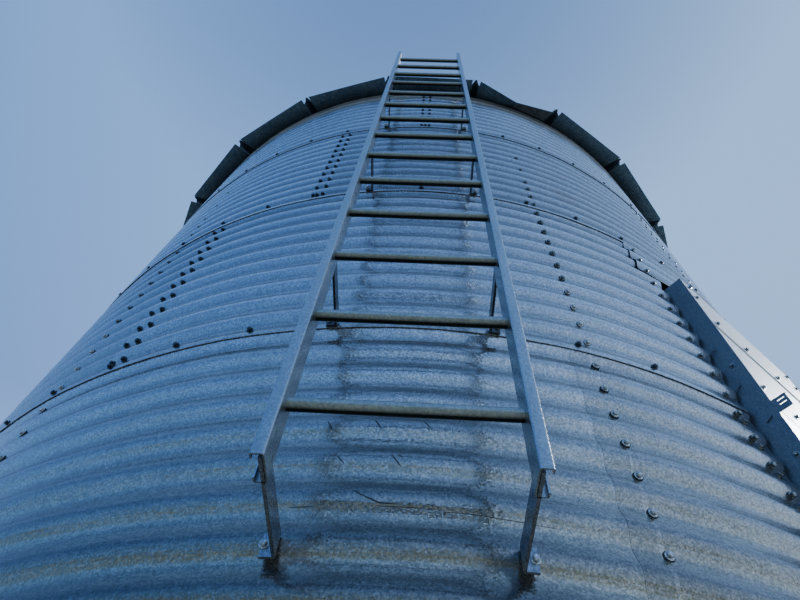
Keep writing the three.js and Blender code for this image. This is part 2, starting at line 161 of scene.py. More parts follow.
# Door, its leaf with three pressed panels, and the sheet that covers part of the near jamb's web
DOOR_PLANE = 2.17
TRANSOM_FACE = 2.1657
LEAF_FACE = 2.165
LEAF_HALF = 0.364
LEAF_LOW = 0.606
LEAF_HIGH = 2.264
LEAF_DEPTH = 0.03
LEAF_PANEL_HALF = 0.3
LEAF_PANEL_HEIGHT = 0.44
LEAF_PANEL_LOWS = (0.68, 1.2, 1.73)
LEAF_PRESS = 0.007
LEAF_PRESS_EDGE = 0.035
JAMB_WEB = 0.374
JAMB_COVER = 0.0016
COVER_X = -JAMB_WEB - 0.0018

# Grime and painted shade on the wall, by height: splashed dirt, valleys darker higher up (dust kept from the rain,
# and painted shade between the crests), rubbed crests, soot on the weather side (by x), and dull zinc close under
# the eave, which is rougher, and less metallic for each unit of that
SPLASH_TOP, SPLASH_FULL = 2.7, 1.4
SOILED = 0.76
DUST_IN_VALLEYS, DUST_ON_CRESTS = 1.3, 0.5
VALLEY_SHADE_LOW, VALLEY_SHADE_HIGH = 1.9, 3.3
VALLEY_DUST_AND_SHADE = 0.62
RUBBED_AT, RUBBED_REACH = 1.45, 0.55
RUBBED = 0.92 * VALLEY_DUST_AND_SHADE
SOOT_AT, SOOT_FULL, SOOT_REACH = 1.75, 0.4, 0.7
SOOT_PHASE = 0.45 * math.pi
SOOTY = 0.5
WEATHER_SIDE, LEE_SIDE = -1.15, -0.7
DULL_FROM, DULL_FULL = WALL_TOP - 0.24, WALL_TOP - 0.12
DULL_ROUGHER, METAL_LOST = 0.4, 0.35

# Stains on the wall: place, radius, colour and strength
STAINS = [((-0.683, -2.021, 3.709), 0.075, "#8C6B4C", 0.35), ((-0.797, -1.98, 2.13), 0.028, "#A9B1B4", 0.8)]

# Light dome: the heights of its colours, from straight down (0) to straight up (1), and the colours at the two sides
DOME_STOPS = (0.0, 0.2, 0.37, 0.5, 0.57, 0.68, 0.82, 0.94, 1.0)
DOME_DARK_SIDE = ("#6A7274", "#5E6868", "#525E5C", "#5A686C", "#527AA6", "#5484C4", "#3C6AAC", "#4E7CBC", "#34609E")
DOME_BRIGHT_SIDE = ("#8A9092", "#84888A", "#7E827C", "#9CA2A2", "#C2D2E4", "#C8DCF6", "#92B0DA", "#98B8E0",
                    "#6C88B2")

# Camera: place, heading, pitch and roll as measured, and focal length in pixels of the picture's width
CAMERA_PLACE = (-1.8885, -2.4017, 0.8127)
HEADING, PITCH, ROLL = (math.radians(v) for v in (34.53, 59.75, 5.91))
FOCAL_PIXELS = 601
PICTURE_PIXELS = 800
SENSOR_WIDTH = 36

chance = np.random.default_rng(14)


# Shapes. A part is (points, corners, sides): its points, every face's corners end to end, and their numbers.

def face_part(points, faces):
    """A part whose faces all have the same number of corners."""
    return points, faces.ravel(), np.full(len(faces), faces.shape[1])


def grid_quads(across, along, round_across=False):
    """Quads of a grid of points, numbered along first; they face across x along."""
    i = np.arange(across if round_across else across - 1)[:, None]
    j = np.arange(along - 1)[None, :]
    ahead = (i + 1) % across
    corners = [i * along + j, ahead * along + j, ahead * along + j + 1, i * along + j + 1]
    return np.stack(corners, axis=-1).reshape(-1, 4)


def plate(grid, thickness, keep=None):
    """A closed sheet: the grid's surface, the same surface moved back along its normals by the thickness,
    and a rim along every free edge. keep says which quads stay, for openings."""
    across, along = grid.shape[:2]
    normals = np.cross(np.gradient(grid, axis=0), np.gradient(grid, axis=1))
    normals /= np.maximum(np.linalg.norm(normals, axis=-1, keepdims=True), 1e-12)
    outer = grid.reshape(-1, 3)
    inner = (grid - normals * thickness).reshape(-1, 3)
    quads = grid_quads(across, along)
    if keep is not None:
        quads = quads[keep.reshape(-1)]
    start, end = quads.ravel(), np.roll(quads, -1, axis=1).ravel()
    count = len(outer)
    free = ~np.isin(start * count + end, end * count + start)
    start, end = start[free], end[free]
    rim = np.stack([start, start + count, end + count, end], axis=1)
    faces = np.concatenate([quads, quads[:, ::-1] + count, rim])
    used, faces = np.unique(faces, return_inverse=True)
    return face_part(np.concatenate([outer, inner])[used], faces.reshape(-1, 4))


def lathe(profile, sides):
    """A solid turned about the third axis: every (radius, height) of the profile goes once round,
    and the first and last rings are closed by flat faces."""
    radii, heights = np.array(profile).T
    angle = math.tau * np.arange(sides) / sides
    ring = np.stack([np.cos(angle), np.sin(angle)], axis=-1)[:, None, :] * radii[None, :, None]
    points = np.concatenate([ring, np.broadcast_to(heights[None, :, None], (sides, len(radii), 1))], axis=-1)
    quads = grid_quads(sides, len(radii), round_across=True)
    first = np.arange(sides)[::-1] * len(radii)
    last = np.arange(sides) * len(radii) + len(radii) - 1
    corners = np.concatenate([quads.ravel(), first, last])
    return points.reshape(-1, 3), corners, np.concatenate([np.full(len(quads), 4), [sides, sides]])


def joined(parts):
    """Several parts as one."""
    starts = np.cumsum([0] + [len(part[0]) for part in parts[:-1]])
    return (np.concatenate([part[0] for part in parts]),
            np.concatenate([part[1] + start for part, start in zip(parts, starts)]),
            np.concatenate([part[2] for part in parts]))


def scattered(part, places, frames):
    """One copy of the part for each place, its three axes turned to that place's frame."""
    points, corners, sides = part
    moved = places[:, None, :] + np.einsum("kij,pi->kpj", frames, points)
    offsets = np.arange(len(places))[:, None] * len(points)
    return moved.reshape(-1, 3), (corners[None, :] + offsets).ravel(), np.tile(sides, len(places))


def rounded(path, radius, steps=4):
    """A polyline with an arc, of that radius, in place of each inner corner."""
    path = np.array(path, float)
    pieces = [path[:1]]
    for before, corner, after in zip(path[:-2], path[1:-1], path[2:]):
        a = (before - corner) / np.linalg.norm(before - corner)
        b = (after - corner) / np.linalg.norm(after - corner)
        half = math.acos(float(np.clip(a @ b, -1, 1))) / 2
        reach = radius / math.tan(half)
        t = np.linspace(0, 1, steps + 1)[:, None]
        start, end = corner + a * reach, corner + b * reach
        centre = corner + (a + b) / np.linalg.norm(a + b) * radius / math.sin(half)
        arc = start * (1 - t) + end * t - centre
        pieces.append(centre + arc / np.linalg.norm(arc, axis=1, keepdims=True) * radius)
    pieces.append(path[-1:])
    return np.concatenate(pieces)


def link(thing):
    """Puts an object in the scene."""
    bpy.context.scene.collection.objects.link(thing)
    return thing


def make(name, parts, material, stands_for=(), body="silo", crease=30, underside=None, tones=None):
    """A piece from its parts, shaded smooth up to the crease angle, which rides on a body of the model.
    underside is a second finish, painted darker as shade, for the faces that look down, and tones the lightness of
    each part."""
    points, corners, sides = joined(parts)
    mesh = bpy.data.meshes.new(name)
    mesh.vertices.add(len(points))
    mesh.vertices.foreach_set("co", points.astype(np.float32).ravel())
    mesh.loops.add(len(corners))
    mesh.loops.foreach_set("vertex_index", corners.astype(np.int32))
    mesh.polygons.add(len(sides))
    mesh.polygons.foreach_set("loop_start", (np.cumsum(sides) - sides).astype(np.int32))
    mesh.update(calc_edges=True)
    mesh.polygons.foreach_set("use_smooth", np.ones(len(sides), dtype=bool))
    mesh.set_sharp_from_angle(angle=math.radians(crease))
    mesh.materials.append(material)
    if underside:
        mesh.materials.append(underside)
        normals = np.empty(len(sides) * 3, dtype=np.float32)
        mesh.polygons.foreach_get("normal", normals)
        mesh.polygons.foreach_set("material_index", (normals[2::3] < LOOKS_DOWN).astype(np.int32))
    if tones:
        layer = mesh.attributes.new("sheet_tone", "FLOAT", "POINT")
        layer.data.foreach_set("value", np.repeat(tones, [len(part[0]) for part in parts]).astype(np.float32))
    piece = link(bpy.data.objects.new(name, mesh))
    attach(piece, body)
    if stands_for:
        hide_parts(*stands_for)


# Materials

def linear(colour):
    """The linear colour of an sRGB hex value."""
    parts = [int(colour[i:i + 2], 16) / 255 for i in (1, 3, 5)]
    return [p / 12.92 if p <= 0.04045 else ((p + 0.055) / 1.055) ** 2.4 for p in parts] + [1.0]


def add(tree, kind, sockets=None, **settings):
    """Adds a node with its settings, and for each of its sockets a value or a link from another node's output."""
    made = tree.nodes.new(kind)
    for name, value in settings.items():
        setattr(made, name, value)
    for name, value in (sockets or {}).items():
        if isinstance(value, bpy.types.NodeSocket):
            tree.links.new(value, made.inputs[name])
        else:
            made.inputs[name].default_value = value
    return made


def new_material(name):
    """An empty node material and its tree, with only an output."""
    material = bpy.data.materials.new(name)
    material.use_nodes = True
    material.node_tree.nodes.clear()
    return material, material.node_tree


def ramp(tree, value, low, high, at_low=0.0, at_high=1.0):
    """A value carried from one range to another, held at the range's ends."""
    return add(tree, "ShaderNodeMapRange", {"Value": value, "From Min": low, "From Max": high, "To Min": at_low,
                                            "To Max": at_high}).outputs["Result"]


def maths(tree, operation, *values):
    """The result of a sum on one, two or three values."""
    return add(tree, "ShaderNodeMath", dict(enumerate(values)), operation=operation).outputs["Value"]


def blended(tree, factor, a, b, way="MIX"):
    """Two colours blended by a factor."""
    return add(tree, "ShaderNodeMix", {"Factor": factor, "A": a, "B": b}, data_type="RGBA",
               blend_type=way).outputs["Result"]


def wall_grime_and_shade(tree, x, z, colour):
    """Grime and painted shade on the wall, which follow the phase of its wave. Higher up the valleys are darker:
    dust that rain doesn't reach, and painted shade between the crests. Low down it is the other way round, down to
    where
    splashing rain washes the sheet: pale splashed dust lies in the valleys, the crests are rubbed dark, and soot
    settles on the slopes that face up on the weather side. Each sheet has its own tone."""
    swell = maths(tree, "MULTIPLY_ADD", z, math.tau / CORRUGATION, -math.tau * FIRST_CREST / CORRUGATION)
    crest = maths(tree, "COSINE", swell)
    splash = ramp(tree, z, SPLASH_TOP, SPLASH_FULL, 0.0, SOILED)
    dust = maths(tree, "MULTIPLY", splash, ramp(tree, crest, -1.0, 1.0, DUST_IN_VALLEYS, DUST_ON_CRESTS))
    colour = blended(tree, dust, colour, linear("#D6CDB8"), "MULTIPLY")
    # Painted shade and dust: the valleys darken with height, partly as dust that rain misses and partly as shade
    # between the crests
    valley = ramp(tree, z, VALLEY_SHADE_LOW, VALLEY_SHADE_HIGH, 1.0, 1 - VALLEY_DUST_AND_SHADE)
    away = maths(tree, "ABSOLUTE", maths(tree, "SUBTRACT", z, RUBBED_AT))
    rubbed = ramp(tree, away, 0.0, RUBBED_REACH, 1 - RUBBED, 1.0)
    colour = blended(tree, 1.0, colour, ramp(tree, crest, -1.0, 1.0, valley, rubbed), "MULTIPLY")
    upward = maths(tree, "COSINE", maths(tree, "ADD", swell, -SOOT_PHASE))
    apart = maths(tree, "ABSOLUTE", maths(tree, "SUBTRACT", z, SOOT_AT))
    soot = ramp(tree, upward, -1.0, 1.0, 0.0, ramp(tree, apart, SOOT_FULL, SOOT_REACH, SOOTY, 0.0))
    settled = maths(tree, "MULTIPLY", soot, ramp(tree, x, WEATHER_SIDE, LEE_SIDE, 1.0, 0.0))
    colour = blended(tree, settled, colour, linear("#0C1014"))
    sheet = add(tree, "ShaderNodeAttribute", attribute_name="sheet_tone").outputs["Fac"]
    return blended(tree, 1.0, colour, sheet, "MULTIPLY")


def stained(tree, place, noise, colour):
    """Stains with wandering edges."""
    for spot, radius, stain, strength in STAINS:
        wander = add(tree, "ShaderNodeVectorMath", {0: noise, "Scale": radius * 0.5}, operation="SCALE")
        moved = add(tree, "ShaderNodeVectorMath", {0: place, 1: wander.outputs["Vector"]}, operation="ADD")
        far = add(tree, "ShaderNodeVectorMath", {0: moved.outputs["Vector"], 1: spot}, operation="DISTANCE")
        near = ramp(tree, far.outputs["Value"], radius * 0.3, radius * 1.3, strength, 0.0)
        colour = blended(tree, near, colour, linear(stain))
    return colour


def galvanised(name, dark, light, metallic, rough, streak=0.1, grain=0.003, tilting=0.1, rolled=0.0, painted_shade=None,
               for_wall=False):
    """Hot-dip galvanised sheet steel: zinc crystals a few millimetres across, each a little lighter or darker and
    tilted a little, with run-down streaks and a dull bloom of weathering that roughens it in patches. rolled is
    the depth of the level lines that rolling leaves. Painted shade is given as (direction, from, to, least): the
    colour is darkest up to the first distance along the direction, clears by the second, and keeps the least
    lightness where it is darkest. The wall's sheet has its grime, painted shade in its valleys higher up, and
    stains, and close under the eave its zinc has dulled."""
    material, tree = new_material(name)
    place = add(tree, "ShaderNodeTexCoord").outputs["Object"]
    drawn = add(tree, "ShaderNodeMapping", {"Vector": place, "Scale": (1 / grain, 1 / grain, 0.9 / grain)})
    crystal = add(tree, "ShaderNodeTexVoronoi", {"Vector": drawn.outputs["Vector"], "Scale": 1.0}, feature="F1")
    fine = add(tree, "ShaderNodeTexNoise", {"Vector": drawn.outputs["Vector"], "Scale": 0.9, "Detail": 3.0})
    flow = add(tree, "ShaderNodeMapping", {"Vector": place, "Scale": (38, 38, 3.2)})
    runs = add(tree, "ShaderNodeTexNoise", {"Vector": flow.outputs["Vector"], "Scale": 1.0, "Detail": 4.0,
                                            "Roughness": 0.62})
    bloom = add(tree, "ShaderNodeTexNoise", {"Vector": place, "Scale": 3.4, "Detail": 5.0, "Roughness": 0.6})
    facet = add(tree, "ShaderNodeSeparateColor", {"Color": crystal.outputs["Color"]})
    tone = ramp(tree, maths(tree, "MULTIPLY", facet.outputs["Red"], fine.outputs["Fac"]), 0.05, 0.55)
    colour = blended(tree, tone, linear(dark), linear(light))
    run = ramp(tree, runs.outputs["Fac"], 0.38, 0.7, 0.0, streak)
    colour = blended(tree, run, colour, linear(dark), "MULTIPLY")
    polish = ramp(tree, bloom.outputs["Fac"], 0.3, 0.7, rough - 0.07, rough + 0.1)
    shine = maths(tree, "MULTIPLY_ADD", facet.outputs["Green"], 0.12, polish)
    if for_wall:
        where = add(tree, "ShaderNodeSeparateXYZ", {"Vector": place}).outputs
        # Grime, with painted shade in the valleys higher up
        colour = wall_grime_and_shade(tree, where["X"], where["Z"], colour)
        colour = stained(tree, place, fine.outputs["Color"], colour)
        dulled = ramp(tree, where["Z"], DULL_FROM, DULL_FULL, 0.0, DULL_ROUGHER)
        shine = maths(tree, "ADD", shine, dulled)
        metallic = maths(tree, "MULTIPLY_ADD", dulled, -METAL_LOST, metallic)
    # Painted shade: the colour darkens towards one end of a direction, down to the least lightness
    if painted_shade:
        direction, darkest_at, unshaded_at, least = painted_shade
        along = add(tree, "ShaderNodeVectorMath", {0: place, 1: direction}, operation="DOT_PRODUCT")
        lit_share = ramp(tree, along.outputs["Value"], darkest_at, unshaded_at, least, 1.0)
        colour = blended(tree, 1.0, colour, lit_share, "MULTIPLY")
    lean = add(tree, "ShaderNodeVectorMath", {0: crystal.outputs["Color"], 1: (0.5, 0.5, 0.5)},
               operation="SUBTRACT")
    tilt = add(tree, "ShaderNodeVectorMath", {0: lean.outputs["Vector"], "Scale": tilting}, operation="SCALE")
    bump = add(tree, "ShaderNodeBump", {"Strength": 1.6 * tilting, "Distance": 0.0005,
                                        "Height": fine.outputs["Fac"]})
    level = add(tree, "ShaderNodeMapping", {"Vector": place, "Scale": (3.5, 3.5, 50)})
    lines = add(tree, "ShaderNodeTexNoise", {"Vector": level.outputs["Vector"], "Scale": 1.0, "Detail": 3.0})
    ridged = add(tree, "ShaderNodeBump", {"Strength": rolled, "Distance": 0.004, "Height": lines.outputs["Fac"],
                                          "Normal": bump.outputs["Normal"]})
    turned = add(tree, "ShaderNodeVectorMath", {0: ridged.outputs["Normal"], 1: tilt.outputs["Vector"]},
                 operation="ADD")
    facing = add(tree, "ShaderNodeVectorMath", {0: turned.outputs["Vector"]}, operation="NORMALIZE")
    skin = add(tree, "ShaderNodeBsdfPrincipled", {"Base Color": colour, "Metallic": metallic, "Roughness": shine,
                                                  "Normal": facing.outputs["Vector"]})
    add(tree, "ShaderNodeOutputMaterial", {"Surface": skin.outputs["BSDF"]})
    return material


wall_sheet = galvanised("galvanised_corrugated_sheet", "#B0B7BC", "#E6EAEE", metallic=0.93, rough=0.14, streak=0.15,
                        grain=0.0036, rolled=0.4, for_wall=True)
roof_sheet = galvanised("galvanised_roof_sheet", "#6E767A", "#A9AFB2", metallic=0.8, rough=0.42, streak=0.5,
                        grain=0.005)
# The underside is painted shade: a dark blue colour, cut to a fifth of it from just under the wall's top upwards
roof_underside = galvanised("roof_underside_painted_shade", "#425C72", "#6A8088", metallic=0.4, rough=0.55, streak=0.4,
                            grain=0.008, painted_shade=(-UP, 0.001 - WALL_TOP, 0.058 - WALL_TOP, 0.2))
door_sheet = galvanised("galvanised_door_sheet", "#A6AEB4", "#D2D8DC", metallic=0.45, rough=0.42, streak=0.15,
                        tilting=0.04)
# The jamb's finish is darker than the door's sheet as painted shade
jamb_steel = galvanised("galvanised_jamb_painted_shade", "#5E6A72", "#7A848C", metallic=0.82, rough=0.35, streak=0.2,
                        tilting=0.04)
ladder_steel = galvanised("galvanised_ladder_channel", "#A0A8AC", "#BCC4C8", metallic=0.97, rough=0.22, streak=0.15,
                          tilting=0.04)
# The rung's side towards the wall is painted shade: its colour drops to 7 % there and clears towards the outer side
rung_steel = galvanised("dull_galvanised_rung_painted_shade", "#8E9A9A", "#AEB8B6", metallic=0.88, rough=0.28, grain=0.004,
                        tilting=0.0, painted_shade=(LADDER_OUT, LADDER_RADIUS + 0.001, LADDER_RADIUS + 0.0105, 0.07))
strap_steel = galvanised("galvanised_strap", "#7C848E", "#AEB4BE", metallic=0.93, rough=0.22, tilting=0.03)
# A darker copy of the strap's finish, which is painted shade
shaded_strap_steel = galvanised("galvanised_strap_painted_shade", "#3C4046", "#565A60", metallic=0.93, rough=0.22,
                               tilting=0.03)
zinc_fittings = galvanised("zinc_plated_fittings", "#5C686E", "#98A4AA", metallic=0.93, rough=0.18, tilting=0.02)
# A darker copy of the bolts' zinc, which is painted shade, for the seams and the upper laps
dark_bolts = galvanised("bolt_steel_painted_shade", "#262E34", "#444E56", metallic=0.7, rough=0.35, tilting=0.02)
# A lighter copy of the bolts' zinc, which is painted light, for the low column bolts and the bracket feet
bright_bolts = galvanised("zinc_bolts_painted_light", "#8A969C", "#D0D8DC", metallic=0.7, rough=0.22, tilting=0.02)
rubber = galvanised("weathered_rubber_seal", "#14181C", "#2A3034", metallic=0.0, rough=0.7, grain=0.002)
bare_scuff = galvanised("dirt_in_a_scuff", "#20282C", "#38424A", metallic=0.3, rough=0.6)


# Wall sheets

def phase(z):
    """Phase of the corrugation's wave, which has one crest every 101.6 mm."""
    return math.tau * (z - FIRST_CREST) / CORRUGATION


def wave_at(z):
    """The corrugation: a cosine up the wall."""
    return WAVE * np.cos(phase(z))


def dents(azimuth, z):
    """Slow waviness of thin sheet under a millimetre deep: a few sines across each other."""
    return 0.0005 * (np.sin(azimuth * 23 + z * 2.1) + np.sin(azimuth * 41 - z * 3.7 + 1) * np.sin(z * 5.3))


def on_wall(radius, azimuth, z):
    """Points at a radius from the axis along an azimuth."""
    return np.stack([radius * np.sin(azimuth), -radius * np.cos(azimuth), z + 0 * azimuth], axis=-1)


def wall_surface(ring, start, end, azimuth, z):
    """Radius of a wall sheet's outer face: the wave, the dents, each ring a little outside the one below at
    their lap, and each sheet a little outside its left neighbour at theirs."""
    rise = (z - ring * RING_HEIGHT) / RING_HEIGHT
    turn = (azimuth - start) / (end - start)
    filler = 0.0
    if ring == FILLER_RING and abs(start - FILLER_START * BOLT_PITCH + FILLER_LAP) < 0.001:
        filler = FILLER_PROUD + FILLER_LIFT * np.clip(LIFT_START - rise, 0, LIFT_SPAN)
    steps = RING_STEP * (1 - 2 * rise) + SHEET_STEP * (1 - 2 * turn)
    return WALL_RADIUS + filler + wave_at(z) + dents(azimuth, z) + steps


def first_lap(ring):
    """The bolt pitch of a ring's first lap, two further round than the ring below has it."""
    return ((ring + 1) * LAP_STEP) % SHEET_PITCHES


def wall_rows(ring):
    """Heights of a ring's rows: eight to a corrugation, and the doorway's edges."""
    low = ring * RING_HEIGHT
    high = WALL_TOP if ring == RINGS - 1 else low + RING_HEIGHT + RING_LAP
    rows = np.arange(low, high + 1e-6, CORRUGATION / ROWS_TO_A_WAVE)
    extra = [z for z in (DOOR_LOW, FILLER_LOW) if low < z < high]
    return np.union1d(np.append(rows, high), extra)


def wall_ring(ring):
    """A ring of seven sheets, each a grid of azimuth by height, with the doorway cut out, and their tones, which
    vary as a cosine of the sheet's place."""
    rows = wall_rows(ring)
    sheets, tones = [], []
    for lap in first_lap(ring) + SHEET_PITCHES * np.arange(-4, 3):
        start, end = lap * BOLT_PITCH - END_LAP, (lap + SHEET_PITCHES) * BOLT_PITCH + END_LAP
        is_filler = ring == FILLER_RING and lap == FILLER_START
        if is_filler:
            start = lap * BOLT_PITCH - FILLER_LAP
        if ring == FILLER_RING and lap + SHEET_PITCHES == FILLER_START:
            end = -DOOR_CUT
        inside = BOLT_PITCH * np.arange(lap * COLUMNS_TO_A_PITCH, (lap + SHEET_PITCHES) * COLUMNS_TO_A_PITCH + 1)
        inside = inside / COLUMNS_TO_A_PITCH
        columns = [start, end] + [side * DOOR_CUT for side in (-1, 1) if start < side * DOOR_CUT < end]
        columns = np.union1d(inside[(inside > start + 0.004) & (inside < end - 0.004)], columns)
        azimuth, z = np.meshgrid(columns, rows, indexing="ij")
        grid = on_wall(wall_surface(ring, start, end, azimuth, z), azimuth, z)
        middle_azimuth = (azimuth[1:, 1:] + azimuth[:-1, 1:]) / 2
        middle_z = (z[1:, 1:] + z[1:, :-1]) / 2
        hole = (middle_azimuth < DOOR_CUT) & (middle_z > DOOR_LOW) & (middle_z < FILLER_LOW)
        if not is_filler:
            hole &= middle_azimuth > -DOOR_CUT
        if not np.all(hole):
            sheets.append(plate(grid, GAUGE, ~hole))
            tones.append(0.88 + 0.12 * math.cos(0.3 * lap + 3.94 * ring))
    return sheets, tones


for ring in range(RINGS):
    names = [f"wall_{ring + 1}_{side}" for side in ("right", "back", "left")]
    if ring == 0:
        names.append("wall_1_under_door")
    if ring == FILLER_RING:
        names.append("wall_3_over_door")
    sheets, tones = wall_ring(ring)
    make(f"wall_sheets_{ring + 1}", sheets, wall_sheet, names, tones=tones)


# Scuffs on the second ring

SCUFFED_LAP = -12


def scuff(line, width):
    """A thin dark ribbon that follows the second ring's left sheet along a line of (azimuth in degrees, height),
    tapered to its ends."""
    line = np.array(line, float)
    line[:, 0] = np.radians(line[:, 0])
    along = np.concatenate([[0], np.cumsum(np.hypot(np.diff(line[:, 0]) * WALL_RADIUS, np.diff(line[:, 1])))])
    t = np.linspace(0, along[-1], max(4, int(along[-1] / 0.004)))
    azimuth, z = np.interp(t, along, line[:, 0]), np.interp(t, along, line[:, 1])
    run, climb = np.gradient(azimuth) * WALL_RADIUS, np.gradient(z)
    length = np.hypot(run, climb)
    half = width / 2 * np.sqrt(np.sin(np.pi * np.linspace(0.04, 0.96, len(t))))
    sides = np.array([-1, 1])[None, :]
    azimuth = azimuth[:, None] - (climb / length * half)[:, None] * sides / WALL_RADIUS
    z = z[:, None] + (run / length * half)[:, None] * sides
    start = SCUFFED_LAP * BOLT_PITCH - END_LAP
    radius = wall_surface(1, start, start + SHEET_PITCHES * BOLT_PITCH + 2 * END_LAP, azimuth, z) + 0.0003
    return plate(on_wall(radius, azimuth, z), 0.0004)


SCUFFS = [([(-43.36, 1.8415), (-42.97, 1.8146)], 0.0028), ([(-40.5, 1.8476), (-40.07, 1.8212)], 0.0028),
          ([(-37.55, 1.8496), (-37.06, 1.8245)], 0.0015), ([(-42.38, 1.7332), (-41.94, 1.7159)], 0.0022),
          ([(-39.29, 1.7385), (-38.74, 1.7123)], 0.0026), ([(-38.97, 1.7421), (-38.65, 1.734)], 0.002),
          ([(-41.24, 1.6428), (-40.72, 1.6305), (-40.16, 1.6212), (-39.77, 1.6155), (-38.87, 1.6138)], 0.0024),
          ([(-44.37, 1.6045), (-43.14, 1.6052)], 0.0016), ([(-39.96, 1.6091), (-37.49, 1.6089)], 0.0014),
          ([(-36.86, 1.6046), (-35.06, 1.6047), (-30.42, 1.5982)], 0.0008),
          ([(-22.0, 2.19), (-21.75, 2.178)], 0.005), ([(-21.95, 2.085), (-21.6, 2.075)], 0.005)]
make("wall_scuffs", [scuff(line, width) for line, width in SCUFFS], bare_scuff)


# Bolts

def hex_bolt(size=1.0):
    """A bolt head on its washer: a low dished disc, and a six-sided head on a narrower neck, its corners
    chamfered."""
    washer = lathe([(0.0104 * size, -0.003), (0.0104 * size, 0.0012), (0.0084 * size, 0.002)], 10)
    head = lathe([(0.0052 * size, 0.0016), (0.0052 * size, 0.0036 * size), (0.0075 * size, 0.0042 * size),
                  (0.0075 * size, 0.0076 * size), (0.0058 * size, 0.0092 * size)], 6)
    return joined([washer, head])


def seal():
    """The rubber disc that stands out all round from under a bolt's washer."""
    return lathe([(0.0122, -0.003), (0.0122, 0.0003), (0.0108, 0.0009)], 12)


def spun(across, up, out):
    """Frames of three axes, the first two turned at random about the third."""
    spin = chance.uniform(0, math.tau, len(out))[:, None]
    return np.stack([across * np.cos(spin) + up * np.sin(spin), up * np.cos(spin) - across * np.sin(spin), out],
                    axis=1)


def bolts_on_wall(azimuth, z, radius, lean=0.0, shape=None):
    """Bolt heads, or another shape, that point out from the wall, tipped upwards by lean and each turned at random
    about its axis."""
    azimuth, z, radius, lean = (np.asarray(v, float) for v in np.broadcast_arrays(azimuth, z, radius, lean))
    across = np.stack([np.cos(azimuth), np.sin(azimuth), 0 * azimuth], axis=-1)
    level = np.stack([np.sin(azimuth), -np.cos(azimuth), 0 * azimuth], axis=-1)
    tip = lean[:, None]
    out, up = level * np.cos(tip) + UP * np.sin(tip), UP * np.cos(tip) - level * np.sin(tip)
    return scattered(shape or hex_bolt(), on_wall(radius, azimuth, z), spun(across, up, out))


def valleys(low, high):
    """Heights of the bolts in the corrugation's valleys between two heights. Higher up they sit off the middle."""
    heights = FIRST_CREST + CORRUGATION / 2 + np.arange(0, 60) * CORRUGATION
    heights += np.where(heights > 2 * RING_HEIGHT, OFF_VALLEY, 0)
    return heights[(heights > low) & (heights < high)]


def bolts_on_wave(azimuth, z, proud=BOLT_PROUD, shape=None):
    """Bolt heads square to the corrugation's own slope, which is the wave's derivative, proud of its middle."""
    slope = WAVE * math.tau / CORRUGATION * np.sin(phase(z))
    return bolts_on_wall(azimuth, z, WALL_RADIUS + wave_at(z) + proud, np.arctan(slope), shape)


def crossed(azimuths, heights):
    """Every azimuth with every height, as two flat arrays."""
    a, z = np.meshgrid(azimuths, heights, indexing="ij")
    return a.ravel(), z.ravel()


def clear_of_door(azimuth, z):
    """Drops the bolts that would fall in the doorway or on the flat sheets over it."""
    stays = ~((np.abs(azimuth) < DOOR_CUT + 0.004) & (z > DOOR_LOW) & (z < FILLER_BOLTS_LOW))
    return azimuth[stays], z[stays]


# Seams, with none where the filler sheet's own bolts are
seam_heights = np.arange(1, RINGS) * RING_HEIGHT + SEAM_BOLT_RISES
seam_azimuth, seam_z = crossed((np.arange(BOLTS_ROUND) - BOLTS_ROUND // 2) * BOLT_PITCH, seam_heights)
seam_azimuth, seam_z = clear_of_door(seam_azimuth, seam_z)
beside = (np.abs(np.abs(seam_azimuth) + FILLER_START * BOLT_PITCH) < 0.01) & (seam_z < FILLER_BOLTS_LOW)
seam_azimuth, seam_z = seam_azimuth[~beside], seam_z[~beside]
seam_radius = WALL_RADIUS + wave_at(seam_z) + SEAM_BOLT_PROUD
upper = seam_z > LARGE_ABOVE
seam_bolts = [bolts_on_wall(seam_azimuth[on], seam_z[on], seam_radius[on], SEAM_BOLT_LEAN, hex_bolt(size))
              for on, size in ((~upper, 1.0), (upper, LARGE_SIZE))]
# The seam bolts have the darker bolt finish, painted shade
make("seam_bolts", seam_bolts, dark_bolts)

# Pairs of columns at the sheets' laps, and none in the second ring
for ring in (0, 2, 3, 4):
    laps = (first_lap(ring) + SHEET_PITCHES * np.arange(-4, 3)) * BOLT_PITCH
    pair = np.concatenate([laps - LAP_BOLT_HALF_GAP, laps + LAP_BOLT_HALF_GAP])
    if ring == FILLER_RING:
        pair = pair[np.abs(pair - FILLER_START * BOLT_PITCH) > 0.02]
    top = min((ring + 1) * RING_HEIGHT, WALL_TOP) - 0.02
    lap_azimuth, lap_z = crossed(pair, valleys(ring * RING_HEIGHT + 0.03, top))
    # Laps above the second ring have the darker bolt finish, painted shade
    make(f"lap_bolts_{ring + 1}", [bolts_on_wave(lap_azimuth, lap_z)], dark_bolts if ring > 1 else zinc_fittings)

# Single columns, painted lighter low down, over rubber seals
columns = (COLUMN_PITCHES * np.arange(-4, 4) + 3) * BOLT_PITCH
columns += np.where(columns < LEFT_OF, TURNED_LEFT, TURNED_RIGHT)
upright_z = np.concatenate([valleys(0.02, COLUMN_TOP), COLUMN_BOLTS_HIGH])
column_azimuth, column_z = clear_of_door(*crossed(columns, upright_z))
low = column_z < BRIGHT_BELOW
for label, on, steel in (("low", low, bright_bolts), ("high", ~low, zinc_fittings)):
    make(f"upright_bolts_{label}", [bolts_on_wave(column_azimuth[on], column_z[on])], steel)
seals = [bolts_on_wave(column_azimuth, column_z, shape=seal())]
make("upright_bolt_seals", seals, rubber)

